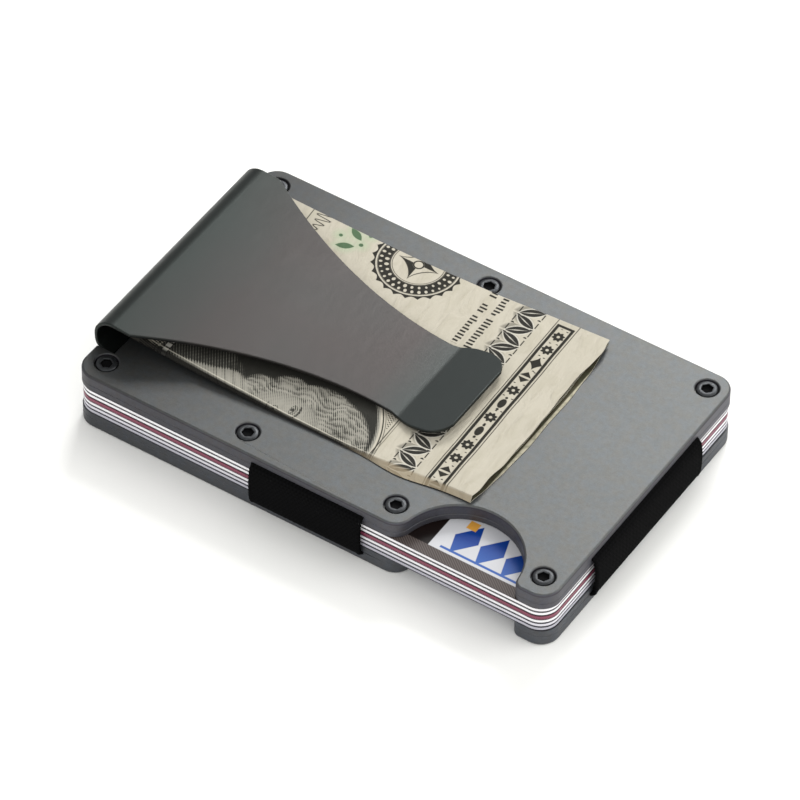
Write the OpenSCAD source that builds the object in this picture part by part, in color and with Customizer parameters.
// Minimalist card wallet: two plated halves held together by an elastic strap, with a
// stack of cards between them and a spring money clip over the top half.
// +X runs along the wallet, +Y points to its open long side and +Z points up.
// The origin is the middle of the bottom face. All sizes are in millimetres.

/* [Plates] */
// Length of the plates, along X
plate_l = 86; // [84:0.5:96]
// Width of the plates, along Y
plate_w = 54; // [53:0.5:62]
// Radius of the plates' corners
corner_r = 3.2; // [2.6:0.1:3.6]
// Thickness of each outer plate
outer_t = 1.9; // [1.6:0.1:2.6]
// Thickness of each inner plate
inner_t = 1.1; // [1:0.1:1.6]

/* [Cards] */
// Length of a card
card_l = 85.6; // [83:0.1:85.6]
// Width of a card
card_w = 53.98; // [50:0.01:53.98]
// Thickness of a card
card_t = 0.76; // [0.7:0.01:0.84]
// Gap above and below each card
card_gap = 0.06; // [0.05:0.01:0.12]

/* [Elastic strap] */
// Thickness of the strap
strap_t = 0.6; // [0.4:0.05:0.65]
// Width of the strap around the two short sides
end_strap_w = 30; // [24:0.5:31]
// Width of the strap around the near long side
near_strap_w = 20; // [14:0.5:21]
// Distance from the plates' edges to the strap's inner face
strap_stand_off = 0.2; // [0.1:0.05:0.4]

/* [Thumb notch] */
// Place of the notch's centre along X
notch_x = 26.6; // [25:0.2:27]
// Distance of the notch's centre from the near edge
notch_inset = 0.5; // [0:0.1:1]
// Radius of the notch
notch_r = 9.9; // [8:0.1:10]
// Radius of the ear on the notch's left side
left_ear_r = 3; // [1:0.1:3]
// Radius of the ear on the notch's right side
right_ear_r = 1.5; // [1:0.1:1.6]

/* [Screws] */
// Radius of the screw heads
head_r = 1.7; // [1.5:0.05:1.75]
// Thickness of the screw heads
head_t = 0.8; // [0.6:0.05:0.9]
// Radius of the counterbores
counterbore_r = 1.9; // [1.85:0.05:2]
// Depth of the counterbores
counterbore_depth = 0.9; // [0.8:0.05:1]
// Radius of the screws' threads
thread_r = 0.8; // [0.7:0.05:0.85]
// Width across the corners of the hexagon sockets
socket_w = 1.7; // [1.4:0.1:2]

/* [Money clip] */
// Thickness of the spring sheet
clip_t = 0.6; // [0.4:0.05:0.7]
// Width of the clip at its bend
clip_w = 41; // [36:0.5:41]
// Outer radius of the bend
bend_r = 3.4; // [3.2:0.05:3.6]
// Width of the flange that holds the clip between the plates
flange_w = 29.6; // [20:0.5:29.6]
// Slope of the arm, down towards its crease
arm_slope = 5.6; // [5.4:0.1:5.7]
// Place of the crease along X
crease_x = 3.8; // [2:0.2:4]
// Width of the clip at its waist
waist_w = 17; // [14:0.5:19]
// Slope of the lip, up from the crease
lip_slope = 10; // [6:1:14]
// Place of the lip's end along X
lip_end_x = 12.9; // [12:0.2:14]
// Width of the lip
lip_w = 19.4; // [18:0.2:21]

/* [Banknotes] */
// Thickness of the folded notes at their open end
note_end_t = 1.15; // [0.8:0.05:1.2]
// Thickness of the folded notes under the crease
note_pinch_t = 0.45; // [0.3:0.05:0.45]

/* [Hidden] */
$fn = 96;

card_count = 6;
card_corner_r = 3.18;
card_pitch = card_t + card_gap;
stack_h = card_count * card_pitch + card_gap;
half_t = outer_t + inner_t;
wallet_h = 2 * half_t + stack_h;
eps = 0.02; // slack between faces that lie on each other
past = 1; // how far a cutter runs past the face that it cuts

// Screws: four along the near edge, three along the far edge
screw_inset = 3.9;
far_screw_inset = 3.5;
screw_end_inset = 3.5;
near_inner_screw_x = 13.4;
near_screw_y = -plate_w / 2 + screw_inset;
far_screw_y = plate_w / 2 - far_screw_inset;
end_screw_x = plate_l / 2 - screw_end_inset;
screw_places = concat(
    [for (x = [-end_screw_x, -near_inner_screw_x, near_inner_screw_x, end_screw_x]) [x, near_screw_y]],
    [for (x = [-end_screw_x, 0, end_screw_x]) [x, far_screw_y]]
);
head_recess = 0.05;
head_round = 0.25;
socket_depth = 0.45;
screw_end_gap = 0.1;
thread_slack = 0.02;
clearance_r = thread_r + 0.15;

// Channels for the strap, cut into the inner faces of the outer plates
channel_depth = strap_t + eps;
channel_slack = 0.2;
strap_out = strap_stand_off + strap_t;
low_strap_z = outer_t - eps / 2 - strap_t;
high_strap_z = wallet_h - outer_t + eps / 2;
near_strap_overlap = 2;

// Money clip: a flange on top of the strap, a bend around the left edge, an arm and a lip
flange_z = wallet_h - outer_t + channel_depth + eps;
flange_end_x = -24;
bend_x = -plate_l / 2 - 0.6 + bend_r;
bend_z = flange_z + bend_r;
pocket_slack = 0.2;
bend_notch_slack = 0.25;
bend_notch_end_x = bend_x + 0.4;
peg_x = -31;
peg_y = 10;
peg_r = 1.2;
peg_slack = 0.1;
base_arc_end = 206; // where the base's share of the bend ends, in degrees
arm_arc_start = 194; // where the arm's share of the bend starts, in degrees
bend_inner_r = bend_r - clip_t;
arm_start = [bend_x + bend_r * sin(arm_slope), bend_z + bend_r * cos(arm_slope)];
arm_len = (crease_x - arm_start[0]) / cos(arm_slope);
crease_r = 3;
crease_z = arm_start[1] - arm_len * sin(arm_slope);
crease_centre = [crease_x + crease_r * sin(arm_slope), crease_z + crease_r * cos(arm_slope)];
lip_start_x = crease_centre[0] + crease_r * sin(lip_slope);
lip_len = (lip_end_x - lip_start_x) / cos(lip_slope);
taper_start_x = -37;
taper_end_x = 1;
taper_power = 1.9;
taper_steps = 18;
flare_start_x = 3.2;
flare_end_x = 6.2;
lip_corner_r = 3.8;
lip_corner_steps = 10;

// Folded banknotes: the corners of the packet seen from above
note_corners = [[-42.3, -18.6], [22.7, -16.6], [22.2, 22.9], [-42.3, 20]];
note_left_x = -42.3;
note_right_x = 23;
note_rest_z = wallet_h + 0.05;
note_lift = 2.3;
note_lift_start_x = -10;
note_lift_power = 1.4;
note_left_t = 0.8;
note_thin_len = 20;
note_steps = 24;

// A point of the clip's edge at x, between the bend and the waist
function taper_half_w(x) =
    waist_w / 2 + (clip_w - waist_w) / 2
        * pow((taper_end_x - x) / (taper_end_x - taper_start_x), taper_power);

// How far the notes' underside stands above the plate at x
function note_bottom(x) =
    note_rest_z + (x > note_lift_start_x ? 0 :
        note_lift * pow((note_lift_start_x - x) / (note_lift_start_x - note_left_x), note_lift_power));

// Thickness of the folded notes at x, pinched under the crease
function note_thickness(x) =
    x > crease_x
        ? note_pinch_t + (note_end_t - note_pinch_t) * (x - crease_x) / (note_right_x - crease_x)
        : note_pinch_t + (note_left_t - note_pinch_t) * min(1, (crease_x - x) / note_thin_len);

module rounded_rect(l, w, r) {
    square([l - 2 * r, w], center = true);
    square([l, w - 2 * r], center = true);
    for (sx = [-1, 1], sy = [-1, 1])
        translate([sx * (l / 2 - r), sy * (w / 2 - r)])
            circle(r = r);
}

// The corner between an ear and the notch, on the side that side names
module ear_relief(r, side) {
    near_y = -plate_w / 2;
    notch_y = near_y + notch_inset;
    ear_y = near_y + r;
    ear_x = notch_x + side * sqrt(pow(notch_r + r, 2) - pow(ear_y - notch_y, 2));
    difference() {
        polygon([[ear_x, near_y - past], [notch_x, near_y - past], [notch_x, notch_y], [ear_x, ear_y]]);
        translate([ear_x, ear_y])
            circle(r = r);
    }
}

module thumb_notch() {
    translate([notch_x, -plate_w / 2 + notch_inset])
        circle(r = notch_r);
    ear_relief(left_ear_r, -1);
    ear_relief(right_ear_r, 1);
}

module plate_outline() {
    difference() {
        rounded_rect(plate_l, plate_w, corner_r);
        thumb_notch();
    }
}

// Turns a part of the bottom half over into the same part of the top half
module to_top() {
    translate([0, 0, wallet_h])
        mirror([0, 0, 1])
            children();
}

// The strap's outline, as wide as asked for and reaching out past the plates
module strap_outline(slack, reach) {
    square([plate_l + 2 * reach, end_strap_w + 2 * slack], center = true);
    translate([-near_strap_w / 2 - slack, -plate_w / 2 - reach])
        square([near_strap_w + 2 * slack, plate_w / 2 + reach - end_strap_w / 2 + near_strap_overlap]);
}

// An outer plate as it lies at the bottom, with its outside at z = 0
module outer_plate() {
    difference() {
        linear_extrude(outer_t)
            plate_outline();
        translate([0, 0, outer_t - channel_depth])
            linear_extrude(channel_depth + past)
                strap_outline(channel_slack, past);
        for (place = screw_places)
            translate([place[0], place[1], 0]) {
                translate([0, 0, -past])
                    cylinder(r = counterbore_r, h = counterbore_depth + past);
                cylinder(r = clearance_r, h = outer_t + past);
            }
    }
}

// An inner plate as it lies at the bottom, on top of the outer plate
module inner_plate() {
    difference() {
        translate([0, 0, outer_t])
            linear_extrude(inner_t)
                plate_outline();
        for (place = screw_places)
            translate([place[0], place[1], outer_t - past])
                cylinder(r = thread_r + thread_slack, h = inner_t + 2 * past);
    }
}

// One screw standing on its head at the origin, with the head's outside at z = 0
module screw() {
    screw_len = half_t - head_recess - screw_end_gap;
    difference() {
        rotate_extrude()
            polygon([
                [0, 0], [head_r - head_round, 0], [head_r, head_round], [head_r, head_t],
                [thread_r, head_t], [thread_r, screw_len], [0, screw_len]
            ]);
        translate([0, 0, -past])
            cylinder(d = socket_w, h = socket_depth + past, $fn = 6);
    }
}

module screws() {
    for (place = screw_places)
        translate([place[0], place[1], head_recess])
            screw();
}

module strap_band(z) {
    translate([0, 0, z])
        linear_extrude(strap_t)
            strap_outline(0, strap_out);
}

// The strap where it crosses the stack at one short side
module end_span(side) {
    span_x = side * (plate_l / 2 + strap_stand_off + strap_t / 2);
    span_z = low_strap_z + strap_t;
    translate([span_x - strap_t / 2, -end_strap_w / 2, span_z])
        cube([strap_t, end_strap_w, high_strap_z - span_z]);
}

module card(level) {
    translate([0, 0, half_t + card_gap + (level - 1) * card_pitch])
        linear_extrude(card_t)
            rounded_rect(card_l, card_w, card_corner_r);
}

// Part of the bend's ring, from one angle to the other
module bend_arc(from, to) {
    far = 3 * bend_r;
    translate([bend_x, bend_z])
        intersection() {
            difference() {
                circle(r = bend_r);
                circle(r = bend_inner_r);
            }
            polygon(concat([[0, 0]], [for (i = [0:4]) let (a = from + (to - from) * i / 4) [far * cos(a), far * sin(a)]]));
        }
}

// The clip's side view is drawn in XY and stood up, so that its Y becomes Z
module stand_up(w) {
    rotate([90, 0, 0])
        linear_extrude(w, center = true)
            children();
}

module crease_arc() {
    outer_r = crease_r + clip_t;
    far = 3 * outer_r;
    translate(crease_centre)
        intersection() {
            difference() {
                circle(r = outer_r);
                circle(r = crease_r);
            }
            polygon([
                [0, 0],
                [far * sin(-arm_slope), -far * cos(arm_slope)],
                [far * sin(lip_slope), -far * cos(lip_slope)]
            ]);
        }
}

module arm_side_view() {
    bend_arc(90 - arm_slope, arm_arc_start);
    translate(arm_start)
        rotate(-arm_slope)
            translate([-eps, -clip_t])
                square([arm_len + 2 * eps, clip_t]);
    crease_arc();
    translate(crease_centre)
        rotate(lip_slope)
            translate([-eps, -crease_r - clip_t])
                square([lip_len + eps, clip_t]);
}

// The clip's arm seen from above: wide at the bend, narrow at the waist, with a round lip
module arm_top_view() {
    corner = [lip_end_x - lip_corner_r, lip_w / 2 - lip_corner_r];
    side = concat(
        [[-plate_l, clip_w / 2]],
        [for (i = [0:taper_steps])
            let (x = taper_start_x + (taper_end_x - taper_start_x) * i / taper_steps)
            [x, taper_half_w(x)]],
        [[flare_start_x, waist_w / 2], [flare_end_x, lip_w / 2]],
        [for (i = [0:lip_corner_steps])
            let (a = 90 - 90 * i / lip_corner_steps)
            corner + lip_corner_r * [cos(a), sin(a)]]
    );
    polygon(concat(side, [for (i = [len(side) - 1:-1:0]) [side[i][0], -side[i][1]]]));
}

module bottom_outer_plate() {
    color("dimgray")
        outer_plate();
}

module bottom_inner_plate() {
    color("slategray")
        inner_plate();
}

module bottom_screws() {
    color([0.12, 0.12, 0.13])
        screws();
}

module elastic_bottom_band() {
    color([0.08, 0.09, 0.1])
        strap_band(low_strap_z);
}

module elastic_left_span() {
    color([0.1, 0.11, 0.12])
        end_span(-1);
}

module elastic_right_span() {
    color([0.1, 0.11, 0.12])
        end_span(1);
}

module elastic_near_span() {
    span_z = low_strap_z + strap_t;
    color([0.1, 0.11, 0.12])
        translate([-near_strap_w / 2, -plate_w / 2 - strap_out, span_z])
            cube([near_strap_w, strap_t, high_strap_z - span_z]);
}

module card_1() {
    color([0.66, 0.66, 0.72])
        card(1);
}

module card_2() {
    color([0.86, 0.86, 0.9])
        card(2);
}

module card_3() {
    color([0.95, 0.95, 0.95])
        card(3);
}

module card_4() {
    color([0.55, 0.3, 0.38])
        card(4);
}

module card_5() {
    color([0.94, 0.94, 0.95])
        card(5);
}

module card_6() {
    color([0.9, 0.9, 0.92])
        card(6);
}

module elastic_top_band() {
    color([0.08, 0.09, 0.1])
        strap_band(high_strap_z);
}

module top_inner_plate() {
    color("slategray")
        to_top()
            inner_plate();
}

// The top outer plate has a notch that the clip's bend passes, a pocket above the strap's
// channel for the clip's flange, and two pegs in the pocket that hold the flange
module top_outer_plate() {
    pocket_w = flange_w + 2 * pocket_slack;
    pocket_depth = channel_depth + clip_t + 2 * eps;
    notch_w = clip_w + 2 * bend_notch_slack;
    plate_z = wallet_h - outer_t;
    color("gray")
        union() {
            difference() {
                to_top()
                    outer_plate();
                translate([-plate_l, -notch_w / 2, plate_z - past])
                    cube([plate_l + bend_notch_end_x, notch_w, outer_t + 2 * past]);
                translate([-plate_l, -pocket_w / 2, plate_z - past])
                    cube([plate_l + flange_end_x + pocket_slack, pocket_w, pocket_depth + past]);
            }
            for (side = [-1, 1])
                translate([peg_x, side * peg_y, flange_z])
                    cylinder(r = peg_r, h = clip_t + 2 * eps);
        }
}

module top_screws() {
    color([0.12, 0.12, 0.13])
        to_top()
            screws();
}

// The narrow flange between the plates and the lower part of the bend
module clip_base() {
    color([0.27, 0.27, 0.28])
        difference() {
            union() {
                stand_up(clip_w)
                    bend_arc(base_arc_end, 270);
                translate([bend_x - eps, -flange_w / 2, flange_z])
                    cube([flange_end_x - bend_x + eps, flange_w, clip_t]);
            }
            for (side = [-1, 1])
                translate([peg_x, side * peg_y, flange_z - past])
                    cylinder(r = peg_r + peg_slack, h = clip_t + 2 * past);
        }
}

// The upper part of the bend, the arm, the crease and the lip
module clip_arm() {
    color([0.36, 0.36, 0.37])
        intersection() {
            stand_up(clip_w)
                arm_side_view();
            linear_extrude(2 * wallet_h)
                arm_top_view();
        }
}

// The folded notes: lifted towards the bend, pinched under the crease, loose at the open end
module banknotes() {
    stations = [for (i = [0:note_steps]) note_left_x + (note_right_x - note_left_x) * i / note_steps];
    side_view = concat(
        [for (x = stations) [x, note_bottom(x)]],
        [for (i = [note_steps:-1:0]) let (x = stations[i]) [x, note_bottom(x) + note_thickness(x)]]
    );
    color([0.87, 0.86, 0.78])
        intersection() {
            stand_up(plate_w)
                polygon(side_view);
            linear_extrude(2 * wallet_h)
                polygon(note_corners);
        }
}

bottom_outer_plate();
bottom_inner_plate();
bottom_screws();
elastic_bottom_band();
elastic_left_span();
elastic_right_span();
elastic_near_span();
card_1();
card_2();
card_3();
card_4();
card_5();
card_6();
elastic_top_band();
top_inner_plate();
top_outer_plate();
top_screws();
clip_base();
clip_arm();
banknotes();
